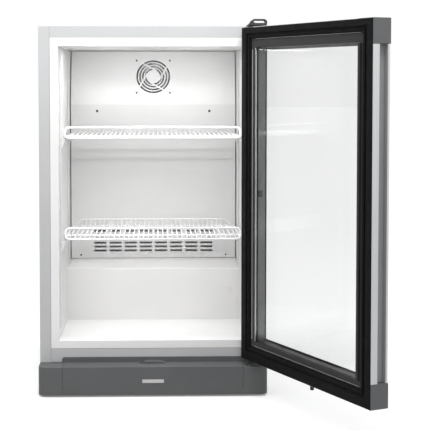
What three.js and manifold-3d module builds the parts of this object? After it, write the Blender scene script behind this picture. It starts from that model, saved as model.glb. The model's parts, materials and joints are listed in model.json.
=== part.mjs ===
// Counter-top display fridge with a glass door, standing open.
// Millimetres, +Z up, +Y to the back. The origin is on the floor under the middle of the cabinet.
import * as THREE from 'three';
import { mergeVertices } from 'three/addons/utils/BufferGeometryUtils.js';
import Module from 'manifold-3d';

const wasm = await Module();
wasm.setup();

// ---- driving dimensions ------------------------------------------------------------------------
const HALF_W = 248.5;        // half the cabinet's width
const FRONT = -225;          // the cabinet's front plane
const BACK = 279;            // the cabinet's back plane
const TOP = 802;             // the cabinet's top
const SHEET = 1;             // painted steel sheet
const GAP = 0.3;             // clearance between neighbouring pieces
const OVER = 5;              // how far cutting tools run past what they cut
const POST_IN = 224.5;       // inner edge of the front posts
const TOP_BAR_Z = 778;       // underside of the top bar
const RAIL_Z0 = 65.7;        // bottom rail
const RAIL_Z1 = 95;
const BAR_RETURN = 5;        // how far the top bar and the rail fold back
const RAIL_RETURN = 20;

const LINER = 2;             // wall of the plastic liner
const CAVITY_X = 205.6;      // half the cavity's width
const FLOOR_Z = 113.2;
const CEILING_Z = 758.6;
const CAVITY_BACK = 222;
const HUMP_Y = 14;           // front of the hump over the compressor
const HUMP_FRONT_Z = 236;
const HUMP_BACK_Z = 242.5;
const HUMP_BACK_Y = 150;     // where the hump's sloping top turns level

const BASE_Z = 6;            // underside of the base plate's field
const BASE_T = 1.2;
const PAD_Z = 4;             // underside of the base plate's middle pad
const PAD_HALF = 180;
const FOOT_X = 215;
const FOOT_FRONT_Y = -195;
const FOOT_BACK_Y = 245;
const FOOT_STUD_R = 4;
const STUD_TOP = 16;
const FOOT_R = 18;

const BAY_Y = 44;            // front of the machine bay
const BAY_TOP = 206;
const FOAM_BOTTOM = 68;

const PLINTH_FRONT = -279;
const PLINTH_TOP = 65.4;
const PLINTH_BOTTOM = 4;
const PLINTH_WALL = 3;
const SEAM_X = 195.3;        // seams of the plinth's middle panel
const PLINTH_CORNER_R = 18;
const UPSTAND_X0 = -200;     // upstand along the plinth's back edge
const UPSTAND_X1 = 204;
const UPSTAND_T = 4;
const UPSTAND_TOP = 76.6;
const UPSTAND_R = 5;

const COVER_Y = 146.6;       // front of the evaporator cover
const COVER_X = 203.6;
const COVER_T = 1.5;
const COVER_Z0 = 243.5;
const COVER_CREASE_Z = 625;
const COVER_Z1 = 757;
const COVER_LEAN = 33;       // how far the cover's top leans back
const FAN_Z = 694;
const FAN_SIDE = 92;         // square frame of the axial fans
const FAN_DEPTH = 25;
const FAN_BORE_R = 43;

const SHELF_Z = [327.4, 553.6];  // undersides of the lower and upper shelf
const SHELF_X = 196.5;       // side wires
const SHELF_FRONT = -171;
const SHELF_BACK = 80;
const FRAME_WIRE = 5;        // wire diameters
const GRID_WIRE = 3;
const GUARD_WIRE = 4;
const MIDDLE_WIRE_Y = -100;
const GRID_PITCH = 10.9;
const GRID_SIDE_COUNT = 17;  // grid wires each side of the middle one
const GUARD_H = 22.8;        // front guard: height and lean
const GUARD_LEAN = 16;
const BACK_GUARD_H = 17;
const BACK_GUARD_X = 174;

const RAIL_T = 2.2;          // shelf rails on the side walls
const RAIL_W = 14;
const RAIL_FRONT_Y = -190;
const RAIL_BACK_Y = 56;
const RAIL_TOP_Z = 686;
const RAIL_FRONT_Z = 137;    // where the front and back rails start
const RAIL_BACK_Z = 250;
const CLIP_REACH = 195;      // how near the middle the clips reach
const CLIP_H = 20;

const DOOR_W = 497;
const DOOR_Z0 = 78;
const DOOR_Z1 = 798.6;
const DOOR_GAP = 0.5;        // closed door's inner plane to the cabinet's front plane
const CAP_PROUD = 41;        // depth of the corner caps
const PROFILE_D = 39.3;      // depth of the aluminium profiles
const CAP_SIDE = 48;
const PANE_INSET = 40;
const WINDOW = { side: 52, bottom: 45.5, top: 44.5 };  // insets of the clear opening
const SEAT = { side: 38, bottom: 34.5, top: 26 };      // insets where the gasket's seat ends
const GASKET_INSET = 2.5;
const HINGE_U = 21;          // hinge axis, from the door's hinge edge
const HINGE_W = 29.8;        // hinge axis, from the door's inner plane
const PIN_R = 5;
const DOOR_OPEN_DEG = 114.65;

const HINGE_X = HALF_W - HINGE_U;
const HINGE_Y = FRONT - DOOR_GAP - HINGE_W;
const LOCK_X = -25;          // lock bolt with the door closed
const LOCK_W = 14;
const LOCK_Y = FRONT - DOOR_GAP - LOCK_W;
const BOLT_R = 4;
const BARREL_R = 9;
const BARREL_Z = 100;
const BOLT_Z0 = 66;
const BOLT_Z1 = 108;

// ---- colours and finishes ----------------------------------------------------------------------
const finish = (color, roughness, metalness) =>
  new THREE.MeshStandardMaterial({ color, roughness, metalness });
const FINISH = {
  steelGrey: finish(0xc9cacd, 0.45, 0.1),
  white: finish(0xf4f4f2, 0.4, 0),
  foam: finish(0xe8dfb8, 0.9, 0),
  dark: finish(0x5a5a5c, 0.6, 0),
  black: finish(0x1c1c1d, 0.7, 0),
  aluminium: finish(0xc4c5c8, 0.35, 0.9),
  inner: finish(0x4e4e51, 0.5, 0),
  glass: new THREE.MeshStandardMaterial({
    color: 0xe8ecec, roughness: 0.05, transparent: true, opacity: 0.35,
  }),
  compressor: finish(0x1f2022, 0.4, 0.6),
  zinc: finish(0xa9abad, 0.4, 0.9),
};

// ---- shape helpers -----------------------------------------------------------------------------
const root = new THREE.Group();

function box(x0, x1, y0, y1, z0, z1) {
  const g = new THREE.BoxGeometry(x1 - x0, y1 - y0, z1 - z0);
  return g.translate((x0 + x1) / 2, (y0 + y1) / 2, (z0 + z1) / 2);
}

// A plate with the same half-width to both sides of the middle.
function wide(halfX, y0, y1, z0, z1) {
  return box(-halfX, halfX, y0, y1, z0, z1);
}

function toShape(points) {
  if (points instanceof THREE.Shape) return points;
  return new THREE.Shape(points.map(([a, b]) => new THREE.Vector2(a, b)));
}

function extrude(points, length, curveSegments = 6) {
  return new THREE.ExtrudeGeometry(toShape(points), { depth: length, bevelEnabled: false, curveSegments });
}

// Outline in (y, z), drawn out along X.
function alongX(points, x0, x1) {
  const basis = new THREE.Matrix4().makeBasis(
    new THREE.Vector3(0, 1, 0), new THREE.Vector3(0, 0, 1), new THREE.Vector3(1, 0, 0));
  return extrude(points, x1 - x0).applyMatrix4(basis).translate(x0, 0, 0);
}

// Outline in (x, z), drawn out along Y.
function alongY(points, y0, y1) {
  const basis = new THREE.Matrix4().makeBasis(
    new THREE.Vector3(1, 0, 0), new THREE.Vector3(0, 0, 1), new THREE.Vector3(0, -1, 0));
  return extrude(points, y1 - y0).applyMatrix4(basis).translate(0, y1, 0);
}

// Outline in (x, y), drawn out along Z.
function alongZ(points, z0, z1) {
  return extrude(points, z1 - z0).translate(0, 0, z0);
}

// A round bar between two points.
function rod(from, to, radius, sides) {
  const a = new THREE.Vector3(...from);
  const span = new THREE.Vector3(...to).sub(a);
  const g = new THREE.CylinderGeometry(radius, radius, span.length(), sides);
  g.applyQuaternion(new THREE.Quaternion().setFromUnitVectors(
    new THREE.Vector3(0, 1, 0), span.clone().normalize()));
  return g.translate(a.x + span.x / 2, a.y + span.y / 2, a.z + span.z / 2);
}

function spin(profile, sides) {
  const g = new THREE.LatheGeometry(profile.map(([r, z]) => new THREE.Vector2(r, z)), sides);
  return g.rotateX(Math.PI / 2);
}

function solid(geometry) {
  const g = geometry.clone();
  g.deleteAttribute('normal');
  g.deleteAttribute('uv');
  const merged = mergeVertices(g, 1e-4);
  const kept = [];
  for (let i = 0; i < merged.index.count; i += 3) {
    const [a, b, c] = [0, 1, 2].map((k) => merged.index.getX(i + k));
    if (a !== b && b !== c && c !== a) kept.push(a, b, c);
  }
  return new wasm.Manifold(new wasm.Mesh({
    numProp: 3,
    vertProperties: new Float32Array(merged.attributes.position.array),
    triVerts: new Uint32Array(kept),
  }));
}

function join(...geometries) {
  return geometries.map(solid).reduce((sum, s) => sum.add(s));
}

function cut(body, ...tools) {
  const start = body instanceof THREE.BufferGeometry ? solid(body) : body;
  return tools.map(solid).reduce((left, t) => left.subtract(t), start);
}

function toGeometry(body) {
  const mesh = body.getMesh();
  const g = new THREE.BufferGeometry();
  g.setAttribute('position', new THREE.BufferAttribute(new Float32Array(mesh.vertProperties), 3));
  g.setIndex(new THREE.BufferAttribute(new Uint32Array(mesh.triVerts), 1));
  const flat = g.toNonIndexed();
  flat.computeVertexNormals();
  return flat;
}

function piece(name, body, material, parent = root) {
  const geometry = body instanceof THREE.BufferGeometry ? body : toGeometry(body);
  const mesh = new THREE.Mesh(geometry, material);
  mesh.name = name;
  parent.add(mesh);
  return mesh;
}

const SIDES = [['left', -1], ['right', 1]];
const mirrored = (points, side) => points.map(([a, b]) => [a * side, b]);

// ---- steel cabinet -----------------------------------------------------------------------------
const SKIN_IN = HALF_W - SHEET;
const INSIDE = SKIN_IN - GAP;            // half-width left for what is inside the skins
const RETURN_X = 238;                    // inner edge of the side panels' rear flanges

function sidePanel(side) {
  const outline = [
    [POST_IN, FRONT], [HALF_W, FRONT], [HALF_W, BACK], [RETURN_X, BACK], [RETURN_X, BACK - SHEET],
    [SKIN_IN, BACK - SHEET], [SKIN_IN, FRONT + SHEET], [POST_IN, FRONT + SHEET],
  ];
  return alongZ(mirrored(outline, side), BASE_Z, TOP);
}

function topPanel() {
  const bar = POST_IN - GAP;
  return join(
    wide(INSIDE, FRONT + SHEET + GAP, BACK - SHEET - GAP, TOP - SHEET, TOP),
    wide(bar, FRONT, FRONT + BAR_RETURN, TOP - SHEET, TOP),
    wide(bar, FRONT, FRONT + SHEET, TOP_BAR_Z, TOP));
}

function frontRail() {
  const bar = POST_IN - GAP;
  return join(
    wide(bar, FRONT, FRONT + SHEET, RAIL_Z0, RAIL_Z1 - GAP),
    wide(bar, FRONT, FRONT + RAIL_RETURN, RAIL_Z0, RAIL_Z0 + SHEET));
}

function basePlate() {
  const stud = (x, y) => rod([x, y, 0], [x, y, STUD_TOP], FOOT_STUD_R + 2 * GAP, 12);
  const plate = join(
    wide(INSIDE, FRONT + LINER + GAP, BACK - SHEET - GAP, BASE_Z, BASE_Z + BASE_T),
    wide(PAD_HALF, -PAD_HALF, PAD_HALF, PAD_Z, BASE_Z + BASE_T));
  return cut(plate,
    stud(-FOOT_X, FOOT_FRONT_Y), stud(FOOT_X, FOOT_FRONT_Y),
    stud(-FOOT_X, FOOT_BACK_Y), stud(FOOT_X, FOOT_BACK_Y));
}

const PANEL_SPLIT_Z = 232;               // rear panel above, grille below
const GRILLE_BOTTOM = 7.5;
const INLET = { x0: 195, x1: 225, z0: 22, z1: 46 };
const LOUVRE = { rows: 9, pitch: 16, z0: 60, height: 6, x: 92, half: 76 };

function rearGrille() {
  const plate = wide(RETURN_X - GAP, BACK - SHEET, BACK, GRILLE_BOTTOM, PANEL_SPLIT_Z - GAP);
  const slots = [];
  for (let row = 0; row < LOUVRE.rows; row += 1) {
    const z = LOUVRE.z0 + row * LOUVRE.pitch;
    for (const x of [-LOUVRE.x, LOUVRE.x]) {
      slots.push(box(x - LOUVRE.half, x + LOUVRE.half, BACK - OVER, BACK + OVER, z, z + LOUVRE.height));
    }
  }
  const hole = box(INLET.x0, INLET.x1, BACK - OVER, BACK + OVER, INLET.z0, INLET.z1);
  return cut(plate, ...slots, hole);
}

for (const [word, side] of SIDES) piece(`side_panel_${word}`, sidePanel(side), FINISH.steelGrey);
piece('top_panel', topPanel(), FINISH.steelGrey);
piece('front_rail_bottom', frontRail(), FINISH.steelGrey);
piece('rear_panel', wide(RETURN_X - GAP, BACK - SHEET, BACK, PANEL_SPLIT_Z, TOP), FINISH.steelGrey);
piece('base_plate', basePlate(), FINISH.zinc);
piece('rear_grille', rearGrille(), FINISH.dark);

// ---- liner and foam ----------------------------------------------------------------------------
// The cavity's side view grown outwards by t, from its mouth at y0.
function cavityOutline(t, y0) {
  return [
    [y0, FLOOR_Z - t], [HUMP_Y + t, FLOOR_Z - t], [HUMP_Y + t, HUMP_FRONT_Z - t],
    [HUMP_BACK_Y, HUMP_BACK_Z - t], [CAVITY_BACK + t, HUMP_BACK_Z - t],
    [CAVITY_BACK + t, CEILING_Z + t], [y0, CEILING_Z + t],
  ];
}

const LIGHT = { x: 150, y0: -212, y1: -196, depth: 7 };

function innerLiner() {
  const shell = join(
    alongX(cavityOutline(LINER, FRONT + LINER / 2), -CAVITY_X - LINER, CAVITY_X + LINER),
    wide(POST_IN - GAP, FRONT, FRONT + LINER, RAIL_Z1, TOP_BAR_Z - GAP));
  return cut(shell,
    alongX(cavityOutline(0, FRONT - OVER), -CAVITY_X, CAVITY_X),
    wide(LIGHT.x, LIGHT.y0, LIGHT.y1, CEILING_Z - OVER, CEILING_Z + OVER));
}

function insulationFoam() {
  const front = FRONT + LINER + GAP;
  const back = BACK - SHEET - GAP;
  const outline = [
    [front, FOAM_BOTTOM], [BAY_Y, FOAM_BOTTOM], [BAY_Y, BAY_TOP], [back, BAY_TOP],
    [back, TOP - SHEET - GAP], [front, TOP - SHEET - GAP],
  ];
  const hollow = LINER + GAP;
  return cut(alongX(outline, -INSIDE, INSIDE),
    alongX(cavityOutline(hollow, FRONT - OVER), -CAVITY_X - hollow, CAVITY_X + hollow),
    wide(LIGHT.x, LIGHT.y0, LIGHT.y1, CEILING_Z, CEILING_Z + LIGHT.depth + GAP));
}

piece('inner_liner', innerLiner(), FINISH.white);
piece('insulation_foam', insulationFoam(), FINISH.foam);
piece('led_light_bar',
  wide(LIGHT.x - GAP, LIGHT.y0 + GAP, LIGHT.y1 - GAP, CEILING_Z + GAP, CEILING_Z + LIGHT.depth),
  FINISH.white);

// ---- evaporator cover, coil and fan ------------------------------------------------------------
const LEAN = Math.atan2(COVER_LEAN, COVER_Z1 - COVER_CREASE_Z);
const FAN_Y = COVER_Y + (FAN_Z - COVER_CREASE_Z) * Math.tan(LEAN);

// Local frame of the leaning panel: the group's +Y runs into the panel, +Z up along it.
const leaning = new THREE.Group();
leaning.position.set(0, FAN_Y, FAN_Z);
leaning.rotation.x = -LEAN;
root.add(leaning);
leaning.updateMatrix();
const onLean = (geometry) => geometry.applyMatrix4(leaning.matrix);

const GRILLE_SLOTS = [40, 33, 25.7, 19.2];   // middle radii of the ring slots
const SLOT_W = 4.2;
const SPOKE_W = 3.6;
const SPOKE_OFFSET = 16.9;
const SPOKE_LEN = 40;
const GRILLE_TURN = THREE.MathUtils.degToRad(-29.4);

function ringSlots() {
  const disc = (r) => rod([0, -OVER, 0], [0, OVER, 0], r, 36);
  const rings = GRILLE_SLOTS
    .map((r) => cut(disc(r + SLOT_W / 2), disc(r - SLOT_W / 2)))
    .reduce((sum, s) => sum.add(s));
  const bars = [];
  for (let k = 0; k < 4; k += 1) {
    const spoke = box(0, SPOKE_LEN, -2 * OVER, 2 * OVER, -SPOKE_W / 2, SPOKE_W / 2);
    bars.push(spoke.translate(0, 0, -SPOKE_OFFSET)
      .rotateY(-GRILLE_TURN - (k * Math.PI) / 2 - Math.PI / 2));
  }
  return cut(rings, ...bars);
}

const VENT = { rows: 6, columns: 8, pitchX: 37.7, pitchZ: 9.82, z0: 261.7, halfX: 15, halfZ: 2.5 };

function ventSlots() {
  const slots = [];
  for (let row = 0; row < VENT.rows; row += 1) {
    for (let column = 0; column < VENT.columns; column += 1) {
      const x = (column - (VENT.columns - 1) / 2) * VENT.pitchX;
      const z = VENT.z0 + row * VENT.pitchZ;
      slots.push(box(x - VENT.halfX, x + VENT.halfX, COVER_Y - OVER, COVER_Y + OVER,
        z - VENT.halfZ, z + VENT.halfZ));
    }
  }
  return slots;
}

function evaporatorCover() {
  const skew = COVER_T / Math.cos(LEAN);
  const outline = [
    [COVER_Y, COVER_Z0], [COVER_Y + COVER_T, COVER_Z0], [COVER_Y + COVER_T, COVER_CREASE_Z],
    [COVER_Y + COVER_LEAN + skew, COVER_Z1], [COVER_Y + COVER_LEAN, COVER_Z1],
    [COVER_Y, COVER_CREASE_Z],
  ];
  const plate = cut(alongX(outline, -COVER_X, COVER_X), ...ventSlots());
  return plate.subtract(solid(onLean(toGeometry(ringSlots()))));
}

const FIN_T = 1.2;
const WEB_T = 2;

// Fins on both sides of a plate, as one body: count fins over x0..x1, y0..y1, drawn out in z.
function finBlock({ x0, x1, y0, y1, z0, z1, count }) {
  const web = (y0 + y1) / 2;
  const near0 = web - WEB_T / 2;
  const far0 = web + WEB_T / 2;
  const step = (x1 - x0 - FIN_T) / (count - 1);
  const near = [];
  const far = [];
  for (let i = 0; i < count; i += 1) {
    const a = x0 + i * step;
    near.push([a, near0], [a, y0], [a + FIN_T, y0], [a + FIN_T, near0]);
    far.push([a, far0], [a, y1], [a + FIN_T, y1], [a + FIN_T, far0]);
  }
  return alongZ([...near, ...far.reverse()], z0, z1);
}

const COIL = { x0: -150, x1: 150, y0: 160, y1: 215, z0: 330, z1: 560, count: 14 };
const HUB_R = 16;
const BLADE_R = 40;
const BLADE = { count: 7, half: 8, t: 1.6, pitch: THREE.MathUtils.degToRad(55) };
const ARM = { t: 3, half: 2.5 };
const MOTOR_T = 6;

function fanHousing() {
  const half = FAN_SIDE / 2;
  const frame = cut(wide(half, 0, FAN_DEPTH, -half, half),
    rod([0, -OVER, 0], [0, FAN_DEPTH + OVER, 0], FAN_BORE_R, 28));
  const arm = (turn) =>
    wide(FAN_BORE_R + 1, FAN_DEPTH - ARM.t, FAN_DEPTH, -ARM.half, ARM.half).rotateY(turn);
  const motor = rod([0, FAN_DEPTH - MOTOR_T, 0], [0, FAN_DEPTH, 0], HUB_R, 20);
  return [arm(Math.PI / 4), arm(-Math.PI / 4), motor]
    .map(solid).reduce((sum, s) => sum.add(s), frame);
}

function fanRotor() {
  const hub = rod([0, 3, 0], [0, FAN_DEPTH - MOTOR_T - 0.5, 0], HUB_R, 20);
  const blades = [];
  for (let k = 0; k < BLADE.count; k += 1) {
    const blade = box(HUB_R - 3, BLADE_R, -BLADE.t / 2, BLADE.t / 2, -BLADE.half, BLADE.half);
    blade.rotateX(BLADE.pitch).translate(0, 10.5, 0).rotateY((k * 2 * Math.PI) / BLADE.count);
    blades.push(blade);
  }
  return join(hub, ...blades);
}

piece('evaporator_cover', evaporatorCover(), FINISH.white);
piece('evaporator_coil', finBlock(COIL), FINISH.aluminium);
const housing = piece('evaporator_fan_housing', fanHousing(), FINISH.black, leaning);
const rotor = piece('evaporator_fan_rotor', fanRotor(), FINISH.black, leaning);
housing.position.y = COVER_T + GAP;
rotor.position.y = COVER_T + GAP;

// ---- shelves, rails and clips ------------------------------------------------------------------
const GUARD_BEND = 8;

function guardLoop(z) {
  const r = FRAME_WIRE / 2;
  const bend = GUARD_BEND;
  const at = (x, t) => [x, SHELF_FRONT + GUARD_LEAN * t, z + GUARD_H * t];
  const wires = [
    rod(at(-SHELF_X + bend, 0), at(SHELF_X - bend, 0), r, 6),
    rod(at(-SHELF_X + bend, 1), at(SHELF_X - bend, 1), r, 6),
  ];
  for (const [, side] of SIDES) {
    const x = side * SHELF_X;
    const inner = side * (SHELF_X - bend);
    wires.push(
      rod(at(side * (SHELF_X - bend - 2), -0.03), at(x, 0.34), r, 6),
      rod(at(x, 0.24), at(x, 0.76), r, 6),
      rod(at(x, 0.66), at(inner - side * 2, 1.03), r, 6));
  }
  return wires;
}

function wireShelf(bottom) {
  const z = bottom + FRAME_WIRE / 2;
  const r = FRAME_WIRE / 2;
  const wires = guardLoop(z);
  for (const y of [MIDDLE_WIRE_Y, SHELF_BACK]) {
    wires.push(rod([-SHELF_X, y, z], [SHELF_X, y, z], r, 4));
  }
  for (const [, side] of SIDES) {
    wires.push(rod([side * SHELF_X, SHELF_FRONT, z], [side * SHELF_X, SHELF_BACK + r, z], r, 6));
    wires.push(rod([side * (SHELF_X - GUARD_BEND), SHELF_BACK, z],
      [side * (BACK_GUARD_X - 1), SHELF_BACK, z + BACK_GUARD_H], GUARD_WIRE / 2, 6));
  }
  const guardZ = z + BACK_GUARD_H;
  wires.push(rod([-BACK_GUARD_X, SHELF_BACK, guardZ], [BACK_GUARD_X, SHELF_BACK, guardZ],
    GUARD_WIRE / 2, 6));
  const g0 = z + r - 0.4;
  const g1 = g0 + GRID_WIRE;
  const end = SHELF_BACK + GRID_WIRE / 2;
  const bent = [[SHELF_FRONT, g0], [end, g0], [end, guardZ], [end - GRID_WIRE, guardZ],
    [end - GRID_WIRE, g1], [SHELF_FRONT, g1]];
  const straight = [[SHELF_FRONT, g0], [end, g0], [end, g1], [SHELF_FRONT, g1]];
  for (let k = -GRID_SIDE_COUNT; k <= GRID_SIDE_COUNT; k += 1) {
    const x = k * GRID_PITCH;
    const outline = Math.abs(x) < BACK_GUARD_X ? bent : straight;
    wires.push(alongX(outline, x - GRID_WIRE / 2, x + GRID_WIRE / 2));
  }
  return join(...wires);
}

const RAIL_OUT = CAVITY_X - GAP;
const RAIL_IN = RAIL_OUT - RAIL_T;

const RAIL_SLOT = { first: 20, pitch: 50, height: 10, half: 2 };

function shelfRail(side, y, z0) {
  const rail = box(RAIL_IN, RAIL_OUT, y, y + RAIL_W, z0, RAIL_TOP_Z);
  const middle = y + RAIL_W / 2;
  const slots = [];
  for (let z = z0 + RAIL_SLOT.first; z < RAIL_TOP_Z - RAIL_SLOT.height; z += RAIL_SLOT.pitch) {
    slots.push(box(RAIL_IN - OVER, RAIL_OUT + OVER, middle - RAIL_SLOT.half, middle + RAIL_SLOT.half,
      z, z + RAIL_SLOT.height));
  }
  const body = cut(rail, ...slots);
  return side > 0 ? body : body.mirror([1, 0, 0]);
}

function shelfClip(side, y, top) {
  const back = RAIL_IN - GAP;
  const foot = top - CLIP_H;
  const outline = [[back, top], [CLIP_REACH, top], [CLIP_REACH, top - 3], [back - 2, foot], [back, foot]];
  return alongY(mirrored(outline, side), y + 2, y + RAIL_W - 2);
}

['lower', 'upper'].forEach((word, i) => {
  piece(`shelf_${word}`, wireShelf(SHELF_Z[i]), FINISH.white);
});
for (const [word, side] of SIDES) {
  piece(`shelf_rail_front_${word}`, shelfRail(side, RAIL_FRONT_Y, RAIL_FRONT_Z), FINISH.white);
  piece(`shelf_rail_back_${word}`, shelfRail(side, RAIL_BACK_Y, RAIL_BACK_Z), FINISH.white);
  ['lower', 'upper'].forEach((level, i) => {
    const top = SHELF_Z[i] - GAP;
    piece(`shelf_clip_${level}_front_${word}`, shelfClip(side, RAIL_FRONT_Y, top), FINISH.white);
    piece(`shelf_clip_${level}_back_${word}`, shelfClip(side, RAIL_BACK_Y, top), FINISH.white);
  });
}

// ---- machine bay -------------------------------------------------------------------------------
const BAY_FLOOR = BASE_Z + BASE_T + GAP;
const COMPRESSOR = { x: 95, y: 165 };
const CAN = [[0, 20], [52, 20], [66, 30], [70, 40], [70, 92], [73, 94], [73, 99], [70, 101],
  [70, 130], [62, 152], [44, 166], [0, 172]];
const SOLE = { halfX: 88, halfY: 55, z0: 17, z1: 21, legX: 76, legY: 43, legR: 9 };
const TERMINAL = { halfX: 28, y0: -86, y1: -60, z0: 60, z1: 112 };
const TRAY = { half: 72, wall: 2, z0: 176, z1: 196 };

function compressor() {
  const { x, y } = COMPRESSOR;
  const can = spin(CAN, 20).translate(x, y, 0);
  const plate = box(x - SOLE.halfX, x + SOLE.halfX, y - SOLE.halfY, y + SOLE.halfY, SOLE.z0, SOLE.z1);
  const terminal = box(x - TERMINAL.halfX, x + TERMINAL.halfX, y + TERMINAL.y0, y + TERMINAL.y1,
    TERMINAL.z0, TERMINAL.z1);
  const legs = [];
  for (const legX of [x - SOLE.legX, x + SOLE.legX]) {
    for (const legY of [y - SOLE.legY, y + SOLE.legY]) {
      legs.push(rod([legX, legY, BAY_FLOOR], [legX, legY, SOLE.z0 + 1], SOLE.legR, 12));
    }
  }
  return join(can, plate, terminal, ...legs);
}

function evaporationTray() {
  const around = (half, z0, z1) =>
    wide(half, COMPRESSOR.y - half, COMPRESSOR.y + half, z0, z1).translate(COMPRESSOR.x, 0, 0);
  return cut(around(TRAY.half, TRAY.z0, TRAY.z1),
    around(TRAY.half - TRAY.wall, TRAY.z0 + TRAY.wall, TRAY.z1 + OVER));
}

const CONDENSER_FAN = { x: -148, y: 190, z: 105 };
const CONDENSER = { x0: -232, x1: -64, y0: 228, y1: 268, z0: 20, z1: 190, count: 12 };
const CONTROL_BOX = [-48, 2, 58, 118, 92, 190];
const SOCKET = { depth: 22, floor: 16, wall: 3, flange: 4, bladeX: 7, bladeZ0: 9, bladeZ1: 15 };

function powerInlet() {
  const { x0, x1, z0, z1 } = INLET;
  const { depth, floor, wall, flange } = SOCKET;
  const body = join(
    box(x0 + GAP, x1 - GAP, BACK - depth, BACK, z0 + GAP, z1 - GAP),
    box(x0 - flange, x1 + flange, BACK - 5, BACK - SHEET - GAP, z0 - flange, z1 + flange));
  const socket = cut(body, box(x0 + wall, x1 - wall, BACK - floor, BACK + OVER, z0 + wall, z1 - wall));
  const middle = (x0 + x1) / 2;
  const blades = [-SOCKET.bladeX, 0, SOCKET.bladeX].map((dx) =>
    box(middle + dx - 1, middle + dx + 1, BACK - floor - 1, BACK - 4,
      z0 + SOCKET.bladeZ0, z0 + SOCKET.bladeZ1));
  return blades.map(solid).reduce((sum, s) => sum.add(s), socket);
}

piece('compressor', compressor(), FINISH.compressor);
piece('evaporation_tray', evaporationTray(), FINISH.black);
piece('condenser', finBlock(CONDENSER), FINISH.aluminium);
for (const [word, shape] of [['housing', fanHousing], ['rotor', fanRotor]]) {
  const fan = piece(`condenser_fan_${word}`, shape(), FINISH.black);
  fan.position.set(CONDENSER_FAN.x, CONDENSER_FAN.y, CONDENSER_FAN.z);
}
piece('control_box', box(...CONTROL_BOX), FINISH.dark);
piece('power_inlet', powerInlet(), FINISH.black);

// ---- plinth and feet ---------------------------------------------------------------------------
const PLINTH_BACK = FRONT - GAP;

function upstand() {
  const shape = new THREE.Shape();
  const z0 = PLINTH_TOP + GAP;
  shape.moveTo(UPSTAND_X0, z0);
  shape.lineTo(UPSTAND_X1, z0);
  shape.lineTo(UPSTAND_X1, UPSTAND_TOP - UPSTAND_R);
  shape.absarc(UPSTAND_X1 - UPSTAND_R, UPSTAND_TOP - UPSTAND_R, UPSTAND_R, 0, Math.PI / 2, false);
  shape.absarc(UPSTAND_X0 + UPSTAND_R, UPSTAND_TOP - UPSTAND_R, UPSTAND_R, Math.PI / 2, Math.PI, false);
  return alongY(shape, PLINTH_BACK - UPSTAND_T, PLINTH_BACK);
}

const KEEPER = { x0: -36, x1: 28, topX0: -22, topX1: 17.6, z: 70, depth: 21 };
const NOTCH = 6;             // half the width of the notch behind the keeper's hole

function plinthCentre() {
  const half = SEAM_X - GAP / 2;
  const topIn = PLINTH_TOP - PLINTH_WALL;
  const keeper = alongY([[KEEPER.x0, topIn], [KEEPER.x1, topIn], [KEEPER.x1, PLINTH_TOP],
    [KEEPER.topX1, KEEPER.z], [KEEPER.topX0, KEEPER.z], [KEEPER.x0, PLINTH_TOP]],
  PLINTH_BACK - KEEPER.depth, PLINTH_BACK - 1);
  const panel = join(
    wide(half, PLINTH_FRONT, PLINTH_FRONT + PLINTH_WALL, PLINTH_BOTTOM, PLINTH_TOP),
    wide(half, PLINTH_FRONT, PLINTH_BACK, topIn, PLINTH_TOP),
    wide(half, PLINTH_BACK - UPSTAND_T, PLINTH_BACK, topIn, PLINTH_TOP + 1),
    upstand(), keeper);
  const slot = box(LOCK_X - NOTCH, LOCK_X + NOTCH, LOCK_Y - 2 * NOTCH, PLINTH_BACK - UPSTAND_T - 1,
    PLINTH_TOP, UPSTAND_TOP + OVER);
  return cut(panel, slot,
    rod([LOCK_X, LOCK_Y, topIn - OVER], [LOCK_X, LOCK_Y, UPSTAND_TOP + OVER], BOLT_R + 1, 16));
}

function cornerOutline(inset, side, innerX) {
  const shape = new THREE.Shape();
  const out = HALF_W - inset;
  const front = PLINTH_FRONT + inset;
  const r = PLINTH_CORNER_R - inset;
  const back = PLINTH_BACK + (inset > 0 ? OVER : 0);
  shape.moveTo(side * innerX, back);
  shape.lineTo(side * innerX, front);
  shape.lineTo(side * (out - r), front);
  if (side > 0) shape.absarc(out - r, front + r, r, -Math.PI / 2, 0, false);
  else shape.absarc(-out + r, front + r, r, -Math.PI / 2, -Math.PI, true);
  shape.lineTo(side * out, back);
  return shape;
}

function plinthCorner(side) {
  const seam = SEAM_X + GAP / 2;
  return cut(
    alongZ(cornerOutline(0, side, seam), PLINTH_BOTTOM, PLINTH_TOP),
    alongZ(cornerOutline(PLINTH_WALL, side, seam - OVER), PLINTH_BOTTOM - OVER,
      PLINTH_TOP - PLINTH_WALL));
}

const BADGE = { half: 23.4, t: 0.8, z0: 30.8, z1: 38.3 };
piece('plinth_centre_panel', plinthCentre(), FINISH.dark);
for (const [word, side] of SIDES) piece(`plinth_corner_${word}`, plinthCorner(side), FINISH.dark);
piece('badge_plate',
  wide(BADGE.half, PLINTH_FRONT - GAP - BADGE.t, PLINTH_FRONT - GAP, BADGE.z0, BADGE.z1), FINISH.zinc);

const FOOT_TOP = BASE_Z - 2 * GAP;
const footProfile = [[0, 0], [FOOT_R - 2, 0], [FOOT_R, 2], [FOOT_R, FOOT_TOP], [FOOT_STUD_R, FOOT_TOP],
  [FOOT_STUD_R, STUD_TOP], [0, STUD_TOP]];
for (const [word, side] of SIDES) {
  for (const [end, y] of [['front', FOOT_FRONT_Y], ['back', FOOT_BACK_Y]]) {
    const foot = piece(`foot_${end}_${word}`, solid(spin(footProfile, 16)), FINISH.black);
    foot.position.set(side * FOOT_X, y, 0);
  }
}

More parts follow.
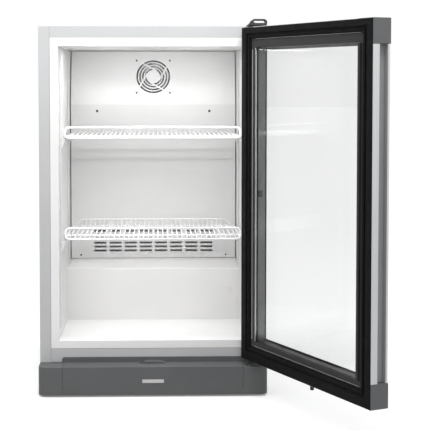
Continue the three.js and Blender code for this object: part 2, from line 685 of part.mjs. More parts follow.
// ---- hinge brackets ----------------------------------------------------------------------------
const BRACKET_T = 3;
const BRACKET_FRONT = -272;
const TOP_BRACKET = { x0: 206, x1: 245, back: -190 };
const BOTTOM_BRACKET = { x0: 207, x1: 246 };
const COVER_BACK = -248;     // back of the arched cover over the top hinge
const COVER_ARCH = [[206, 804], [245, 804], [246, 809], [244.5, 813], [240, 816], [217, 816], [211, 812]];
const COVER_WINDOW = [[220, 807.5], [241.5, 807.5], [241.5, 810.5], [239, 812.8], [219, 812.8], [216, 810]];
const PIN_REACH = 26;        // how far the pins run into the corner caps
const COLLAR_R = 7;

function topHinge() {
  const z = TOP + GAP;
  const arch = cut(alongY(COVER_ARCH, BRACKET_FRONT, COVER_BACK),
    alongY(COVER_WINDOW, BRACKET_FRONT - OVER, COVER_BACK + OVER));
  const plate = box(TOP_BRACKET.x0, TOP_BRACKET.x1, BRACKET_FRONT, TOP_BRACKET.back, z, z + BRACKET_T);
  const pin = rod([HINGE_X, HINGE_Y, z + 1], [HINGE_X, HINGE_Y, DOOR_Z1 - PIN_REACH], PIN_R, 20);
  return join(plate, pin).add(arch);
}

function bottomHinge() {
  const z = PLINTH_TOP + GAP;
  const back = FRONT - GAP;
  const { x0, x1 } = BOTTOM_BRACKET;
  const up = (top, radius) => rod([HINGE_X, HINGE_Y, z + 2], [HINGE_X, HINGE_Y, top], radius, 20);
  return join(box(x0, x1, BRACKET_FRONT, back, z, z + BRACKET_T),
    box(x0, x1, back - 2, back, z, DOOR_Z0 - 2),
    up(DOOR_Z0 - 2 * GAP, COLLAR_R), up(DOOR_Z0 + PIN_REACH, PIN_R));
}

piece('top_hinge_bracket', topHinge(), FINISH.inner);
piece('bottom_hinge_bracket', bottomHinge(), FINISH.zinc);

// ---- door, drawn closed and then turned open about its hinge -----------------------------------
const turned = new THREE.Group();
turned.position.set(HINGE_X, HINGE_Y, 0);
turned.rotation.z = THREE.MathUtils.degToRad(DOOR_OPEN_DEG);
const door = new THREE.Group();
door.position.set(-HINGE_X, -HINGE_Y, 0);
turned.add(door);
root.add(turned);

const doorY = (w) => FRONT - DOOR_GAP - w;
const RIM_W = 1.5;           // edge of the profiles and caps beside the gasket
const RIM_D = 2.2;
const SEAT_W = 6.3;          // floor of the gasket's seat
const BEAD_W = 10;           // floor of the bead's seat
const PANE_D = PANE_INSET - GAP;
const LIP_W = 37.3;          // underside of the front lip
const LIP_D = 44;            // its inner edge
const GRIP_D = 12;           // depth of the grip groove
const GRIP_W = [16, 34.7];   // its two sides
const CHAMFER = 0.8;
const WALL = 2;              // wall of the hollow profiles
const FRAME_W = 7;           // face of the inner frame
const INNER_PANE = [BEAD_W, 14];
const OUTER_PANE = [33, 37];

// Section of a profile in (d, w): d from the door's edge, w from its inner plane.
function profileSection(seat, groove) {
  const edge = groove
    ? [[0, GRIP_W[1]], [GRIP_D, GRIP_W[1]], [GRIP_D, GRIP_W[0]], [0, GRIP_W[0]]]
    : [];
  return [[0, RIM_W], [RIM_D, RIM_W], [RIM_D, SEAT_W], [seat, SEAT_W], [seat, BEAD_W],
    [PANE_D, BEAD_W], [PANE_D, LIP_W], [LIP_D, LIP_W], [LIP_D, PROFILE_D],
    [CHAMFER, PROFILE_D], [0, PROFILE_D - CHAMFER], ...edge];
}

function chamberSection(seat, groove) {
  const d0 = groove ? GRIP_D + WALL : WALL;
  return [[d0, SEAT_W + WALL], [seat - WALL, SEAT_W + WALL], [seat - WALL, BEAD_W + WALL],
    [PANE_D - WALL, BEAD_W + WALL], [PANE_D - WALL, LIP_W], [d0, LIP_W]];
}

// A hollow profile: draw runs an outline in (d, w) along the profile, from one end to the other.
function profile(seat, groove, place, draw, from, to) {
  return cut(draw(profileSection(seat, groove).map(place), from, to),
    draw(chamberSection(seat, groove).map(place), from - 1, to + 1));
}

const stileAt = (side) => ([d, w]) => [side * (HALF_W - d), doorY(w)];
const railAt = (z, up) => ([d, w]) => [doorY(w), z + up * d];
const RAIL_HALF = DOOR_W / 2 - CAP_SIDE;

function bottomRail() {
  const rail = profile(SEAT.bottom, false, railAt(DOOR_Z0, 1), alongX, -RAIL_HALF, RAIL_HALF);
  const bolt = [DOOR_Z0 - OVER, DOOR_Z0 + OVER].map((z) => [LOCK_X, LOCK_Y, z]);
  const barrel = [LIP_W - WALL, PROFILE_D + WALL].map((w) => [LOCK_X, doorY(w), BARREL_Z]);
  return cut(rail, rod(...bolt, BOLT_R + GAP, 20), rod(...barrel, BARREL_R + GAP, 24));
}

const SWING_R = 30;          // the door's hinge corner swings inside this radius

// What the hinge side loses so that its corner turns clear of the cabinet's front.
function swingRelief() {
  const corner = box(HINGE_X, HALF_W + OVER, HINGE_Y, FRONT + OVER, DOOR_Z0 - OVER, DOOR_Z1 + OVER);
  return toGeometry(cut(corner, rod([HINGE_X, HINGE_Y, DOOR_Z0 - 2 * OVER],
    [HINGE_X, HINGE_Y, DOOR_Z1 + 2 * OVER], SWING_R, 96)));
}

const relief = swingRelief();
const capEdge = CAP_SIDE - GAP;

function cornerCap(side, atTop) {
  const seatZ = atTop ? SEAT.top : SEAT.bottom;
  // A block from distances (du, dz) inwards from the door's corner, and depths w0..w1.
  const block = (du0, du1, dz0, dz1, w0, w1) => {
    const xs = [side * (HALF_W - du0), side * (HALF_W - du1)].sort((a, b) => a - b);
    const zs = atTop ? [DOOR_Z1 - dz1, DOOR_Z1 - dz0] : [DOOR_Z0 + dz0, DOOR_Z0 + dz1];
    return box(...xs, doorY(w1), doorY(w0), ...zs);
  };
  const far = CAP_SIDE + OVER;
  const tools = [
    block(RIM_D, far, RIM_D, far, -OVER, SEAT_W),
    block(SEAT.side, far, seatZ, far, -OVER, BEAD_W),
    block(PANE_D, far, PANE_D, far, -OVER, LIP_W),
  ];
  if (side > 0) {
    const edge = atTop ? DOOR_Z1 : DOOR_Z0;
    const inward = atTop ? -1 : 1;
    tools.push(relief, rod([HINGE_X, HINGE_Y, edge - inward * OVER],
      [HINGE_X, HINGE_Y, edge + inward * (PIN_REACH + 3)], PIN_R + GAP, 20));
  }
  return cut(block(0, capEdge, 0, capEdge, RIM_W, CAP_PROUD), ...tools);
}

const even = (d) => ({ side: d, bottom: d, top: d });
const grown = (insets, by) =>
  ({ side: insets.side + by, bottom: insets.bottom + by, top: insets.top + by });

function corners({ side, bottom, top }) {
  const x = HALF_W - side;
  const [z0, z1] = [DOOR_Z0 + bottom, DOOR_Z1 - top];
  return [[-x, z0], [x, z0], [x, z1], [-x, z1]];
}

// A ring around the window between two sets of insets, from depth w0 to w1.
function ring(outer, inner, w0, w1) {
  const shape = toShape(corners(outer));
  shape.holes.push(new THREE.Path(corners(inner).map(([a, b]) => new THREE.Vector2(a, b))));
  return alongY(shape, doorY(w1), doorY(w0));
}

const GROOVE_W = 2.2;        // how deep the gasket's two grooves reach
const GASKET_GROOVES = [
  [{ side: 10, bottom: 9, top: 7.5 }, { side: 13, bottom: 12, top: 9.5 }],
  [{ side: 27, bottom: 24, top: 18 }, { side: 30, bottom: 27, top: 20.5 }],
];

function gasket() {
  const grooves = GASKET_GROOVES.map(([outer, inner]) => ring(outer, inner, -OVER, GROOVE_W));
  return cut(ring(even(GASKET_INSET), grown(SEAT, -GAP), GAP, SEAT_W - GAP), relief, ...grooves);
}

function pane([w0, w1]) {
  return wide(HALF_W - PANE_INSET, doorY(w1), doorY(w0), DOOR_Z0 + PANE_INSET, DOOR_Z1 - PANE_INSET);
}

const KEYWAY = { half: 0.8, tall: 4, deep: 6 };

function lockBarrel() {
  const front = doorY(CAP_PROUD);
  const body = rod([LOCK_X, doorY(22), BARREL_Z], [LOCK_X, front, BARREL_Z], BARREL_R, 24);
  const keyway = box(LOCK_X - KEYWAY.half, LOCK_X + KEYWAY.half, front - 1, front + KEYWAY.deep,
    BARREL_Z - KEYWAY.tall, BARREL_Z + KEYWAY.tall);
  return cut(body, keyway);
}

const stileZ = [DOOR_Z0 + CAP_SIDE, DOOR_Z1 - CAP_SIDE];
for (const [word, side] of [['hinge', 1], ['free', -1]]) {
  const stile = profile(SEAT.side, true, stileAt(side), alongZ, ...stileZ);
  piece(`door_profile_${word}`, side > 0 ? cut(stile, relief) : stile, FINISH.aluminium, door);
  piece(`door_cap_top_${word}`, cornerCap(side, true), FINISH.dark, door);
  piece(`door_cap_bottom_${word}`, cornerCap(side, false), FINISH.dark, door);
}
piece('door_profile_top',
  profile(SEAT.top, false, railAt(DOOR_Z1, -1), alongX, -RAIL_HALF, RAIL_HALF), FINISH.aluminium, door);
piece('door_profile_bottom', bottomRail(), FINISH.aluminium, door);
piece('door_gasket', gasket(), FINISH.black, door);
piece('door_inner_frame', ring(grown(SEAT, GAP), WINDOW, FRAME_W, BEAD_W - GAP), FINISH.inner, door);
piece('glass_inner', pane(INNER_PANE), FINISH.glass, door);
piece('glass_spacer', ring(even(PANE_INSET + 1), WINDOW, INNER_PANE[1] + GAP, OUTER_PANE[0] - GAP),
  FINISH.inner, door);
piece('glass_outer', pane(OUTER_PANE), FINISH.glass, door);
piece('lock_barrel', lockBarrel(), FINISH.zinc, door);
piece('lock_bolt', rod([LOCK_X, LOCK_Y, BOLT_Z0], [LOCK_X, LOCK_Y, BOLT_Z1], BOLT_R, 16),
  FINISH.zinc, door);

export default root;
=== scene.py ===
"""Counter-top display fridge with a glass door: looks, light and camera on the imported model.

Metres, +Z up, +Y to the back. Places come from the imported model's own boxes and joints.
"""
import json
import math

import bmesh
import bpy
from mathutils import Matrix, Vector


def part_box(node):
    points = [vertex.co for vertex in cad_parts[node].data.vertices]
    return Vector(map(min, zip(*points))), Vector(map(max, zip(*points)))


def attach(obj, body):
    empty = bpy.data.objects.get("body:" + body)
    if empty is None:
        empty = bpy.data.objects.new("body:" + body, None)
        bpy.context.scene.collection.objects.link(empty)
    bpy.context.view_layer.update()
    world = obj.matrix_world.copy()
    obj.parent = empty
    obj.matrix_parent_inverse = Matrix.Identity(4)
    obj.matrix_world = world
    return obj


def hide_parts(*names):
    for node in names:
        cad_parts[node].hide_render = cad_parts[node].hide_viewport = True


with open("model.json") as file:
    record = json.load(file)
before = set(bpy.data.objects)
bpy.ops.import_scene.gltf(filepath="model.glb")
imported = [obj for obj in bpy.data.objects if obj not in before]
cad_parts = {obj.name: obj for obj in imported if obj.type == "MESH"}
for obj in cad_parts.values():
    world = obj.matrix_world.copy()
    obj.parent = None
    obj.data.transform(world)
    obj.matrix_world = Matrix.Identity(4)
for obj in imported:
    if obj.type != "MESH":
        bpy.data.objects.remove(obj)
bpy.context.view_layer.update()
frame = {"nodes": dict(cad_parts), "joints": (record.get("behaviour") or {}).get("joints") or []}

NODES = frame["nodes"]
JOINTS = {joint["name"]: joint for joint in frame["joints"]}
MM = 0.001

# ---- camera ------------------------------------------------------------------------------------
CAMERA_PLACE = (0.0096, -2.9675, 0.6831)
CAMERA_TILT = math.radians(90 - 3.0)
CAMERA_PAN = math.radians(-1.6)
LENS = 105.14
SHIFT = (0.0529, -0.1585)

camera_data = bpy.data.cameras.new("camera")
camera_data.sensor_width = 36
camera_data.lens = LENS
camera_data.shift_x, camera_data.shift_y = SHIFT
camera = bpy.data.objects.new("camera", camera_data)
camera.location = CAMERA_PLACE
camera.rotation_euler = (CAMERA_TILT, 0, CAMERA_PAN)
bpy.context.scene.collection.objects.link(camera)
bpy.context.scene.camera = camera
bpy.context.scene.view_settings.view_transform = "Standard"


# ---- materials ---------------------------------------------------------------------------------
def grey(value, warm=0.0):
    """A linear near-neutral colour. warm above 0 is towards yellow, below 0 towards blue."""
    return (value * (1 + warm), value, value * (1 - warm), 1)


class Surface:
    """A Principled material built up from object-space noise."""

    def __init__(self, name, roughness, metallic=0.0, stretch=(1, 1, 1), turn=(0, 0, 0)):
        self.material = bpy.data.materials.new(name)
        self.material.use_nodes = True
        self.tree = self.material.node_tree
        self.shader = self.tree.nodes["Principled BSDF"]
        self.shader.inputs["Metallic"].default_value = metallic
        self.shader.inputs["Roughness"].default_value = roughness
        self.roughness = roughness
        place = self.tree.nodes.new("ShaderNodeTexCoord")
        self.mapping = self.tree.nodes.new("ShaderNodeMapping")
        self.mapping.inputs["Rotation"].default_value = turn
        self.mapping.inputs["Scale"].default_value = stretch
        self.tree.links.new(place.outputs["Object"], self.mapping.inputs["Vector"])
        self.material.diffuse_color = (0.8, 0.8, 0.8, 1)

    def noise(self, size, detail=2.0):
        """Noise whose features are about size metres across."""
        node = self.tree.nodes.new("ShaderNodeTexNoise")
        node.inputs["Scale"].default_value = 1 / size
        node.inputs["Detail"].default_value = detail
        self.tree.links.new(self.mapping.outputs["Vector"], node.inputs["Vector"])
        return node.outputs["Fac"]

    def colour(self, low, high, size, detail=2.0):
        """Base colour wandering between two colours."""
        ramp = self.tree.nodes.new("ShaderNodeValToRGB")
        ramp.color_ramp.elements[0].position = 0.3
        ramp.color_ramp.elements[0].color = low
        ramp.color_ramp.elements[1].position = 0.7
        ramp.color_ramp.elements[1].color = high
        self.tree.links.new(self.noise(size, detail), ramp.inputs["Fac"])
        self.tree.links.new(ramp.outputs["Color"], self.shader.inputs["Base Color"])
        self.material.diffuse_color = high
        return self

    def painted_light_above(self, z, low, high, size):
        """A second, paler base colour above the height z: painted light on what lies above it."""
        lower = self.shader.inputs["Base Color"].links[0].from_socket
        self.colour(low, high, size)
        upper = self.shader.inputs["Base Color"].links[0].from_socket
        split = self.tree.nodes.new("ShaderNodeSeparateXYZ")
        above = self.tree.nodes.new("ShaderNodeMath")
        above.operation = "GREATER_THAN"
        above.inputs[1].default_value = z
        both = self.tree.nodes.new("ShaderNodeMix")
        both.data_type = "RGBA"
        self.tree.links.new(self.mapping.outputs["Vector"], split.inputs[0])
        self.tree.links.new(split.outputs["Z"], above.inputs[0])
        self.tree.links.new(above.outputs[0], both.inputs["Factor"])
        self.tree.links.new(lower, both.inputs["A"])
        self.tree.links.new(upper, both.inputs["B"])
        self.tree.links.new(both.outputs["Result"], self.shader.inputs["Base Color"])
        return self

    def sheen_break(self, spread, size):
        """Roughness wandering by spread either side of its mean."""
        scale = self.tree.nodes.new("ShaderNodeMapRange")
        scale.inputs["To Min"].default_value = self.roughness - spread
        scale.inputs["To Max"].default_value = self.roughness + spread
        self.tree.links.new(self.noise(size, 3.0), scale.inputs["Value"])
        self.tree.links.new(scale.outputs["Result"], self.shader.inputs["Roughness"])
        return self

    def relief(self, size, depth):
        """Fine bump of the given feature size and depth, in metres."""
        bump = self.tree.nodes.new("ShaderNodeBump")
        bump.inputs["Distance"].default_value = depth
        bump.inputs["Strength"].default_value = 1.0
        self.tree.links.new(self.noise(size, 2.0), bump.inputs["Height"])
        self.tree.links.new(bump.outputs["Normal"], self.shader.inputs["Normal"])
        return self

    def socket(self, name, value):
        """A value that is the same all over, set on the shader's own socket."""
        self.shader.inputs[name].default_value = value
        return self


DOOR_TURN = math.radians(JOINTS["door_hinge"]["range_deg"][0])   # from open back to closed
COVER_CREASE_Z = 0.625   # where the evaporator cover starts to lean back
ALONG_UPRIGHT, ALONG_CROSS = (60, 60, 1), (1, 60, 60)   # brushing drawn out along a profile


def moulded(name, low, high, warm=0.0, size=0.06):
    """Fine-grained moulded plastic between two greys."""
    return (Surface(name, 0.5).colour(grey(low, warm), grey(high, warm), size)
            .sheen_break(0.06, 0.006).relief(0.0007, 0.00006).material)


def brushed(name, stretch):
    """Anodised aluminium of the door, brushed along its length."""
    return (Surface(name, 0.40, 0.7, stretch, (0, 0, DOOR_TURN))
            .colour(grey(0.78, -0.01), grey(0.86, -0.01), 0.05)
            .sheen_break(0.06, 0.02).relief(0.02, 0.00002).material)


powder_grey = (Surface("powder_grey", 0.42)
               .colour(grey(0.465, -0.012), grey(0.485, -0.012), 0.09)
               .sheen_break(0.04, 0.02).relief(0.0012, 0.00004).material)
liner_gloss = (Surface("liner_gloss", 0.28)
               .colour(grey(0.75, 0.004), grey(0.77, 0.004), 0.12)
               .sheen_break(0.015, 0.12).relief(0.005, 0.00002).material)
# The paler coat above the crease is painted light: it stands in for the light that the leaning part
# catches.
cover_coat = (Surface("cover_coat", 0.4)
              .colour(grey(0.77, 0.003), grey(0.79, 0.003), 0.08)
              .painted_light_above(COVER_CREASE_Z, grey(0.85, 0.003), grey(0.87, 0.003), 0.08)
              .sheen_break(0.02, 0.10).relief(0.0012, 0.00002).material)
wire_coat = (Surface("wire_coat", 0.32)
             .colour(grey(0.79), grey(0.82), 0.03)
             .sheen_break(0.04, 0.03).relief(0.0015, 0.00004).material)
dark_plastic = moulded("dark_plastic", 0.090, 0.100, -0.024)
grip_plastic = moulded("grip_plastic", 0.33, 0.35, -0.02)
cap_plastic = moulded("cap_plastic", 0.125, 0.137, -0.024)
fan_plastic = moulded("fan_plastic", 0.44, 0.50, size=0.03)
rubber = (Surface("rubber", 0.6).socket("Specular IOR Level", 0.1)
          .colour(grey(0.004), grey(0.007), 0.02)
          .sheen_break(0.08, 0.012).relief(0.0011, 0.00005).material)
frame_plastic = (Surface("frame_plastic", 0.48).socket("Specular IOR Level", 0.2)
                 .colour(grey(0.030, -0.02), grey(0.036, -0.02), 0.05)
                 .sheen_break(0.06, 0.01).relief(0.0008, 0.00004).material)
# Paler metal for the spacer's uprights only, while its top and bottom stay black plastic: the paleness is
# painted light on the upright faces, and the metal's reflections are rendered.
spacer_painted_light = (Surface("spacer_painted_light", 0.32, 0.9)
                .colour(grey(0.15, -0.02), grey(0.17, -0.02), 0.05)
                .sheen_break(0.05, 0.01).relief(0.0010, 0.00002).material)
bright_trim = (Surface("bright_trim", 0.18, 1.0)
               .colour(grey(0.45), grey(0.52), 0.04)
               .sheen_break(0.04, 0.01).relief(0.0010, 0.00001).material)
aluminium_upright = brushed("aluminium_upright", ALONG_UPRIGHT)
aluminium_cross = brushed("aluminium_cross", ALONG_CROSS)
zinc = (Surface("zinc", 0.38, 1.0)
        .colour(grey(0.42, -0.02), grey(0.56, -0.02), 0.012, 4.0)
        .sheen_break(0.1, 0.006).relief(0.003, 0.00004).material)
fin_metal = (Surface("fin_metal", 0.4, 1.0)
             .colour(grey(0.55), grey(0.66), 0.02)
             .sheen_break(0.08, 0.006).relief(0.002, 0.00005).material)
black_plastic = (Surface("black_plastic", 0.45)
                 .colour(grey(0.014), grey(0.022), 0.03)
                 .sheen_break(0.08, 0.006).relief(0.0008, 0.00005).material)
black_paint = (Surface("black_paint", 0.3)
               .colour(grey(0.010), grey(0.018), 0.05)
               .sheen_break(0.08, 0.02).relief(0.002, 0.00006)
               .socket("Coat Weight", 0.3).material)
foam = (Surface("foam", 0.9)
        .colour((0.72, 0.62, 0.36, 1), (0.80, 0.70, 0.45, 1), 0.01, 4.0)
        .relief(0.002, 0.0004).material)
silver_plate = (Surface("silver_plate", 0.3, 1.0, (1, 40, 40))
                .colour(grey(0.66), grey(0.76), 0.01)
                .sheen_break(0.05, 0.004).relief(0.004, 0.00001).material)
glass = (Surface("glass", 0.0)
         .colour((0.90, 0.905, 0.903, 1), (0.91, 0.915, 0.913, 1), 0.2)
         .socket("Transmission Weight", 1.0).socket("IOR", 1.2).material)
lens = (Surface("lens", 0.35)
        .colour(grey(0.9), grey(0.95), 0.01)
        .socket("Emission Color", (1.0, 0.99, 0.97, 1)).socket("Emission Strength", 2.0).material)

LOOKS = {
    "grey_steel": powder_grey, "zinc_steel": zinc, "badge_silver": silver_plate,
    "liner_white": liner_gloss, "shelf_white": wire_coat, "light_lens": lens, "foam": foam,
    "fin_aluminium": fin_metal, "door_aluminium": aluminium_upright, "grey_plastic": dark_plastic,
    "inner_frame_grey": frame_plastic, "black_plastic": black_plastic, "black_rubber": rubber,
    "pane_glass": glass, "compressor_black": black_paint,
}
OTHER_LOOKS = {
    "evaporator_cover": cover_coat, "lock_bolt": black_paint, "door_profile_top": aluminium_cross,
    "door_profile_bottom": aluminium_cross, "glass_spacer": black_plastic,
    "door_cap_top_free": cap_plastic, "door_cap_top_hinge": cap_plastic,
    "door_cap_bottom_free": cap_plastic, "door_cap_bottom_hinge": cap_plastic,
    "evaporator_fan_housing": fan_plastic, "evaporator_fan_rotor": fan_plastic,
    "bottom_hinge_bracket": dark_plastic,
}
for name, node in NODES.items():
    for slot in node.material_slots:
        slot.material = OTHER_LOOKS.get(name) or LOOKS[slot.material.name.split(".")[0]]


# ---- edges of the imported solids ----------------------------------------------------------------
CREASE = math.radians(32)         # edges sharper than this stay edges
FLATNESS = math.radians(0.5)      # faces closer than this are one flat face
WELD = 0.01 * MM


def shell_nodes():
    """Joins the solid's split corners and shades it smooth up to a crease."""
    group = bpy.data.node_groups.new("shell", "GeometryNodeTree")
    group.interface.new_socket("Geometry", in_out="INPUT", socket_type="NodeSocketGeometry")
    group.interface.new_socket("Geometry", in_out="OUTPUT", socket_type="NodeSocketGeometry")
    add, join = group.nodes.new, group.links.new
    start, end = add("NodeGroupInput"), add("NodeGroupOutput")
    drop = add("GeometryNodeRemoveAttribute")
    drop.inputs["Name"].default_value = "custom_normal"
    weld = add("GeometryNodeMergeByDistance")
    weld.inputs["Distance"].default_value = WELD
    faces = add("GeometryNodeSetShadeSmooth")
    faces.domain = "FACE"
    edges = add("GeometryNodeSetShadeSmooth")
    edges.domain = "EDGE"
    angle = add("GeometryNodeInputMeshEdgeAngle")
    crease = add("FunctionNodeCompare")
    crease.operation = "LESS_THAN"
    crease.inputs[1].default_value = CREASE
    join(start.outputs[0], drop.inputs[0])
    join(drop.outputs[0], weld.inputs[0])
    join(weld.outputs[0], faces.inputs[0])
    join(faces.outputs[0], edges.inputs[0])
    join(angle.outputs["Unsigned Angle"], crease.inputs[0])
    join(crease.outputs[0], edges.inputs["Shade Smooth"])
    join(edges.outputs[0], end.inputs[0])
    return group


SHELL = shell_nodes()


def soften(node, width):
    """Rounds the solid's edges without touching its mesh."""
    obj = NODES[node]
    obj.modifiers.new("shell", "NODES").node_group = SHELL
    flat = obj.modifiers.new("flat", "DECIMATE")
    flat.decimate_type = "DISSOLVE"
    flat.angle_limit = FLATNESS
    bevel = obj.modifiers.new("edge", "BEVEL")
    bevel.width = width
    bevel.segments = 2
    bevel.limit_method = "ANGLE"
    bevel.angle_limit = CREASE
    bevel.harden_normals = True


# Edge widths in mm.
EDGES = {
    "top_panel": 0.8, "side_panel_left": 0.8, "side_panel_right": 0.8, "front_rail_bottom": 0.8,
    "plinth_centre_panel": 0.7, "plinth_corner_left": 0.7, "plinth_corner_right": 0.7,
    "door_cap_top_hinge": 0.8, "door_cap_top_free": 0.8,
    "door_cap_bottom_hinge": 0.8, "door_cap_bottom_free": 0.8,
    "door_profile_hinge": 0.5, "door_profile_free": 0.5, "door_profile_top": 0.5,
    "door_profile_bottom": 0.5, "badge_plate": 0.25, "rear_panel": 0.3, "control_box": 2.0,
    "led_light_bar": 1.0, "glass_inner": 0.3, "glass_outer": 0.3, "inner_liner": 2.0,
}
for name, width in EDGES.items():
    soften(name, width * MM)
for name in NODES:
    if name not in EDGES:
        NODES[name].modifiers.new("shell", "NODES").node_group = SHELL


# ---- building new pieces -----------------------------------------------------------------------
def place(name, data, body, look, slot, *stands_for):
    """Puts new geometry, already in the row frame, on a body with its finish."""
    data.materials.append(look)
    obj = bpy.data.objects.new(name, data)
    bpy.context.scene.collection.objects.link(obj)
    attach(obj, body)
    if stands_for:
        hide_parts(*stands_for)
    return obj


def mesh_of(name, points, faces, crease=35):
    """A closed mesh with its faces turned outwards, smooth up to a crease in degrees."""
    mesh = bpy.data.meshes.new(name)
    mesh.from_pydata([tuple(p) for p in points], [], faces)
    shell = bmesh.new()
    shell.from_mesh(mesh)
    bmesh.ops.recalc_face_normals(shell, faces=shell.faces)
    shell.to_mesh(mesh)
    shell.free()
    mesh.shade_smooth()
    mesh.set_sharp_from_angle(angle=math.radians(crease))
    return mesh


def bent(points, radius, closed=False, steps=6):
    """The same path with its corners rounded."""
    points = [Vector(p) for p in points]
    count = len(points)
    path = []
    for i, corner in enumerate(points):
        if not closed and i in (0, count - 1):
            path.append(corner)
            continue
        back = points[i - 1] - corner
        ahead = points[(i + 1) % count] - corner
        reach = min(radius, back.length * 0.48, ahead.length * 0.48)
        a, b = corner + back.normalized() * reach, corner + ahead.normalized() * reach
        for k in range(steps + 1):
            s = k / steps
            path.append(a * (1 - s) ** 2 + corner * 2 * s * (1 - s) + b * s ** 2)
    return path


def wires(name, radius, paths, body, look, slot, *stands_for):
    """Round wires in one curve: paths holds (points, closed) pairs."""
    curve = bpy.data.curves.new(name, "CURVE")
    curve.dimensions = "3D"
    curve.bevel_depth = radius
    curve.bevel_resolution = 3
    curve.use_fill_caps = True
    for points, closed in paths:
        spline = curve.splines.new("POLY")
        spline.points.add(len(points) - 1)
        for knot, point in zip(spline.points, points):
            knot.co = (*point, 1)
        spline.use_cyclic_u = closed
        spline.use_smooth = True
    return place(name, curve, body, look, slot, *stands_for)


def turned(profile, centre, axis, sides):
    """Points and faces of a shape turned about an axis: profile is (radius, along) pairs."""
    turn = Vector((0, 0, 1)).rotation_difference(Vector(axis)).to_matrix()
    points, faces = [], []
    for radius, along in profile:
        for k in range(sides):
            angle = 2 * math.pi * k / sides
            spot = Vector((radius * math.cos(angle), radius * math.sin(angle), along))
            points.append(Vector(centre) + turn @ spot)
    for i in range(len(profile) - 1):
        for k in range(sides):
            after = (k + 1) % sides
            faces.append((i * sides + k, i * sides + after,
                          (i + 1) * sides + after, (i + 1) * sides + k))
    faces.append(tuple(range(sides)))
    faces.append(tuple((len(profile) - 1) * sides + k for k in range(sides)))
    return points, faces


def screw(name, centre, out, radius):
    """A pan-head screw of the cabinet, with a cross recess, standing on the surface at centre."""
    sides = 16
    rim = [(radius, 0), (radius, 0.18), (0.93 * radius, 0.34), (0.72 * radius, 0.46),
           (0.50 * radius, 0.52), (0.22 * radius, 0.54)]
    tall = radius * 0.9
    profile = [(r, h * tall) for r, h in rim]
    points, faces = turned(profile, (0, 0, 0), (0, 0, 1), sides)
    points.append(Vector((0, 0, 0.1 * tall)))
    faces.pop()
    inner = (len(profile) - 1) * sides
    for k in range(sides):
        if k % 4 == 0:
            points[inner + k].z = 0.14 * tall
            points[inner - sides + k].z = 0.26 * tall
        faces.append((inner + k, inner + (k + 1) % sides, len(points) - 1))
    turn = Vector((0, 0, 1)).rotation_difference(Vector(out)).to_matrix()
    placed = [Vector(centre) + turn @ p for p in points]
    return place(name, mesh_of(name, placed, faces, 25), "cabinet", black_paint, "black_plastic")


# ---- shelves -----------------------------------------------------------------------------------
FRAME_R, GUARD_R, GRID_R = 2.5 * MM, 2.0 * MM, 1.5 * MM
GUARD_RISE, GUARD_LEAN = 22.8 * MM, 16 * MM
BACK_RISE, BACK_GUARD_X = 17 * MM, 174 * MM
GRID_PITCH, GRID_SIDE_COUNT = 10.9 * MM, 17
MIDDLE_WIRE_Y = -0.100


def wire_shelf(node):
    """A wire shelf with its front and back guards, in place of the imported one."""
    low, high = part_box(node)
    side = high[0] - FRAME_R
    front = low[1] + FRAME_R
    back = high[1] - FRAME_R
    z = low[2] + FRAME_R
    loop = [(-side, front, z), (side, front, z), (side, front + GUARD_LEAN, z + GUARD_RISE),
            (-side, front + GUARD_LEAN, z + GUARD_RISE)]
    tray = [(-side, front + 5 * MM, z), (-side, back, z), (side, back, z), (side, front + 5 * MM, z)]
    middle = [(-side, MIDDLE_WIRE_Y, z), (side, MIDDLE_WIRE_Y, z)]
    wires(f"{node}_frame", FRAME_R, [(bent(loop, 11 * MM, True), True), (bent(tray, 14 * MM), False),
                                     (middle, False)], node, wire_coat, "shelf_white", node)
    top = z + BACK_RISE
    foot = side - 8 * MM
    guard = [(-foot, back, z + 2 * MM), (-BACK_GUARD_X, back, top), (BACK_GUARD_X, back, top),
             (foot, back, z + 2 * MM)]
    wires(f"{node}_back_guard", GUARD_R, [(bent(guard, 7 * MM), False)], node, wire_coat,
          "shelf_white")
    bed = z + FRAME_R + GRID_R - 0.4 * MM
    rise_y = back - GUARD_R - GRID_R + 0.4 * MM
    grid = []
    for k in range(-GRID_SIDE_COUNT, GRID_SIDE_COUNT + 1):
        x = k * GRID_PITCH
        if abs(x) < BACK_GUARD_X:
            path = bent([(x, front - 1 * MM, bed), (x, rise_y, bed), (x, rise_y, top)], 5 * MM)
        else:
            path = [(x, front - 1 * MM, bed), (x, back + 1 * MM, bed)]
        grid.append((path, False))
    wires(f"{node}_grid", GRID_R, grid, node, wire_coat, "shelf_white")


for node in ("shelf_lower", "shelf_upper"):
    wire_shelf(node)

# ---- door --------------------------------------------------------------------------------------
HINGE = JOINTS["door_hinge"]
PIVOT = Vector(HINGE["pos_m"])
OPENED = (Matrix.Translation(PIVOT)
          @ Matrix.Rotation(math.radians(-HINGE["range_deg"][0]), 4, "Z")
          @ Matrix.Translation(-PIVOT))
HALF_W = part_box("side_panel_right")[1][0]
DOOR_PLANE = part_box("side_panel_right")[0][1] - 0.5 * MM
DOOR_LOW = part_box("door_cap_bottom_hinge")[0][2]
DOOR_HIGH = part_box("door_cap_top_hinge")[1][2]


def on_door(d, w, z):
    """A point given on the closed door and carried to where it stands open.

    d is in from the hinge edge and w out from the inner plane, in mm; z is in metres."""
    return OPENED @ Vector((HALF_W - d * MM, DOOR_PLANE - w * MM, z))


